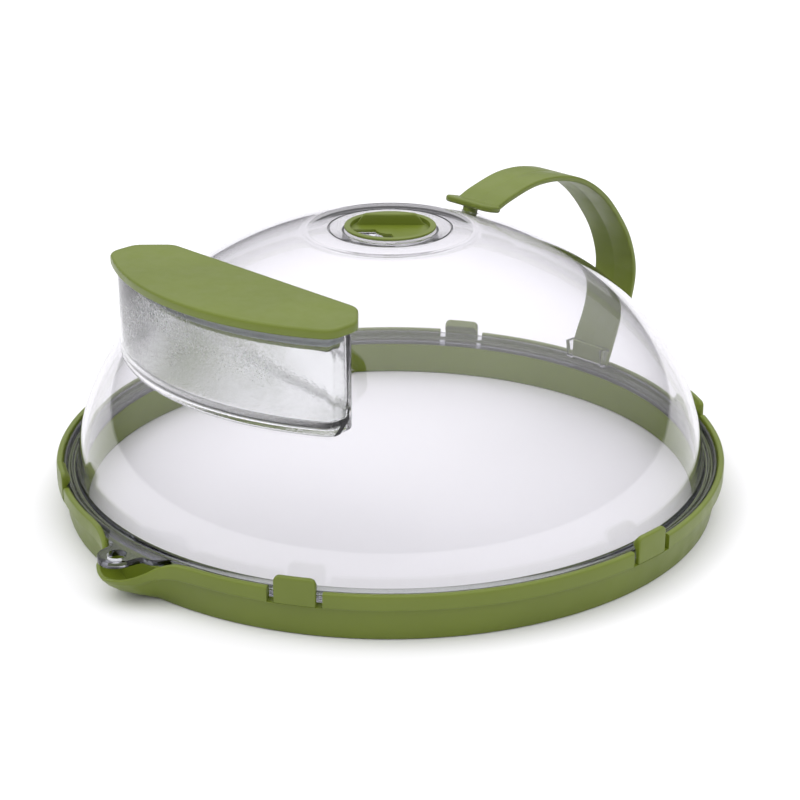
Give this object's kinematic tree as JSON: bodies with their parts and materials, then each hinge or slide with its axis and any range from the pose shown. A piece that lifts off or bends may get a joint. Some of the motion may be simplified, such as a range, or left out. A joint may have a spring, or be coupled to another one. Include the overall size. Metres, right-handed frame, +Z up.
{
  "type": "microwave food cover",
  "caption": "Clear domed food cover on a clip-on base ring, with a lidded water tank, a turning steam vent and an unhooking strap handle",
  "frame": {"origin": "centre of the base ring's bottom plane, on the dome's axis", "axes": "+Z up along the dome's axis; +Y towards the strap handle, with the tank and the hanging lug on the -Y side; +X to the right seen from the tank's side"},
  "size_m": [0.26, 0.2832, 0.1111],
  "materials": {
    "green_plastic": "satin",
    "clear_plastic": "clear gloss",
    "silicone_seal": "translucent satin"
  },
  "bodies": {
    "base": {"base_ring": "green_plastic"},
    "clip_1": {"clip_1": "green_plastic"},
    "clip_2": {"clip_2": "green_plastic"},
    "clip_3": {"clip_3": "green_plastic"},
    "clip_4": {"clip_4": "green_plastic"},
    "clip_5": {"clip_5": "green_plastic"},
    "clip_6": {"clip_6": "green_plastic"},
    "dome": {"dome_shell": "clear_plastic", "dome_flange": "clear_plastic", "water_tank": "clear_plastic", "strap_pocket": "clear_plastic", "strap_foot": "green_plastic"},
    "tank_lid": {"tank_lid": "green_plastic", "lid_seal": "silicone_seal"},
    "vent_knob": {"vent_knob": "green_plastic"},
    "strap_link_1": {"strap_link_1": "green_plastic"},
    "strap_link_2": {"strap_link_2": "green_plastic"},
    "strap_link_3": {"strap_link_3": "green_plastic"},
    "strap_link_4": {"strap_link_4": "green_plastic"},
    "strap_link_5": {"strap_link_5": "green_plastic"},
    "strap_link_6": {"strap_link_6": "green_plastic"},
    "strap_link_7": {"strap_link_7": "green_plastic"},
    "strap_link_8": {"strap_link_8": "green_plastic"},
    "strap_link_9": {"strap_link_9": "green_plastic"},
    "strap_tab": {"strap_tab": "green_plastic"}
  },
  "joints": [
    {"name": "dome_lift", "type": "slide", "parent": "base", "child": "dome", "axis": [0, 0, 1], "range_m": [0, 0.009]},
    {"name": "clip_1_flex", "type": "hinge", "parent": "base", "child": "clip_1", "pos_m": [0.065, -0.11258, 0.0129], "axis": [0.866, 0.5, 0], "range_deg": [0, 19]},
    {"name": "clip_2_flex", "type": "hinge", "parent": "base", "child": "clip_2", "pos_m": [0.13, 0, 0.0129], "axis": [0, 1, 0], "range_deg": [0, 19]},
    {"name": "clip_3_flex", "type": "hinge", "parent": "base", "child": "clip_3", "pos_m": [0.065, 0.11258, 0.0129], "axis": [-0.866, 0.5, 0], "range_deg": [0, 19]},
    {"name": "clip_4_flex", "type": "hinge", "parent": "base", "child": "clip_4", "pos_m": [-0.065, 0.11258, 0.0129], "axis": [-0.866, -0.5, 0], "range_deg": [0, 19]},
    {"name": "clip_5_flex", "type": "hinge", "parent": "base", "child": "clip_5", "pos_m": [-0.13, 0, 0.0129], "axis": [0, -1, 0], "range_deg": [0, 19]},
    {"name": "clip_6_flex", "type": "hinge", "parent": "base", "child": "clip_6", "pos_m": [-0.065, -0.11258, 0.0129], "axis": [0.866, -0.5, 0], "range_deg": [0, 19]},
    {"name": "tank_lid_lift", "type": "slide", "parent": "dome", "child": "tank_lid", "axis": [0, 0, 1], "range_m": [0, 0.025]},
    {"name": "vent_turn", "type": "hinge", "parent": "dome", "child": "vent_knob", "pos_m": [0, 0, 0.1], "axis": [0, 0, 1], "range_deg": [0, 120]},
    {"name": "strap_bend_1", "type": "hinge", "parent": "dome", "child": "strap_link_1", "pos_m": [0, 0.12857, 0.02811], "axis": [-1, 0, 0], "range_deg": [0, 8]},
    {"name": "strap_bend_2", "type": "hinge", "parent": "strap_link_1", "child": "strap_link_2", "pos_m": [0, 0.13532, 0.04198], "axis": [-1, 0, 0], "range_deg": [0, 8.9]},
    {"name": "strap_bend_3", "type": "hinge", "parent": "strap_link_2", "child": "strap_link_3", "pos_m": [0, 0.13841, 0.05694], "axis": [-1, 0, 0], "range_deg": [0, 9.78]},
    {"name": "strap_bend_4", "type": "hinge", "parent": "strap_link_3", "child": "strap_link_4", "pos_m": [0, 0.1342, 0.07167], "axis": [-1, 0, 0], "range_deg": [0, 10.66]},
    {"name": "strap_bend_5", "type": "hinge", "parent": "strap_link_4", "child": "strap_link_5", "pos_m": [0, 0.12575, 0.08456], "axis": [-1, 0, 0], "range_deg": [0, 11.54]},
    {"name": "strap_bend_6", "type": "hinge", "parent": "strap_link_5", "child": "strap_link_6", "pos_m": [0, 0.11519, 0.09578], "axis": [-1, 0, 0], "range_deg": [0, 12.42]},
    {"name": "strap_bend_7", "type": "hinge", "parent": "strap_link_6", "child": "strap_link_7", "pos_m": [0, 0.10229, 0.10416], "axis": [-1, 0, 0], "range_deg": [0, 13.3]},
    {"name": "strap_bend_8", "type": "hinge", "parent": "strap_link_7", "child": "strap_link_8", "pos_m": [0, 0.0876, 0.10879], "axis": [-1, 0, 0], "range_deg": [0, 14.18]},
    {"name": "strap_bend_9", "type": "hinge", "parent": "strap_link_8", "child": "strap_link_9", "pos_m": [0, 0.07223, 0.10981], "axis": [-1, 0, 0], "range_deg": [0, 15.06]},
    {"name": "strap_bend_10", "type": "hinge", "parent": "strap_link_9", "child": "strap_tab", "pos_m": [0, 0.0571, 0.10701], "axis": [-1, 0, 0], "range_deg": [0, 15.94]}
  ],
  "couplings": [
    {"joint": "clip_1_flex", "follows": "dome_lift", "rad_per_m": 36.652},
    {"joint": "clip_2_flex", "follows": "dome_lift", "rad_per_m": 36.652},
    {"joint": "clip_3_flex", "follows": "dome_lift", "rad_per_m": 36.652},
    {"joint": "clip_4_flex", "follows": "dome_lift", "rad_per_m": 36.652},
    {"joint": "clip_5_flex", "follows": "dome_lift", "rad_per_m": 36.652},
    {"joint": "clip_6_flex", "follows": "dome_lift", "rad_per_m": 36.652},
    {"joint": "strap_bend_2", "follows": "strap_bend_1", "ratio": 1.11},
    {"joint": "strap_bend_3", "follows": "strap_bend_1", "ratio": 1.22},
    {"joint": "strap_bend_4", "follows": "strap_bend_1", "ratio": 1.33},
    {"joint": "strap_bend_5", "follows": "strap_bend_1", "ratio": 1.44},
    {"joint": "strap_bend_6", "follows": "strap_bend_1", "ratio": 1.55},
    {"joint": "strap_bend_7", "follows": "strap_bend_1", "ratio": 1.66},
    {"joint": "strap_bend_8", "follows": "strap_bend_1", "ratio": 1.77},
    {"joint": "strap_bend_9", "follows": "strap_bend_1", "ratio": 1.88},
    {"joint": "strap_bend_10", "follows": "strap_bend_1", "ratio": 1.99}
  ]
}
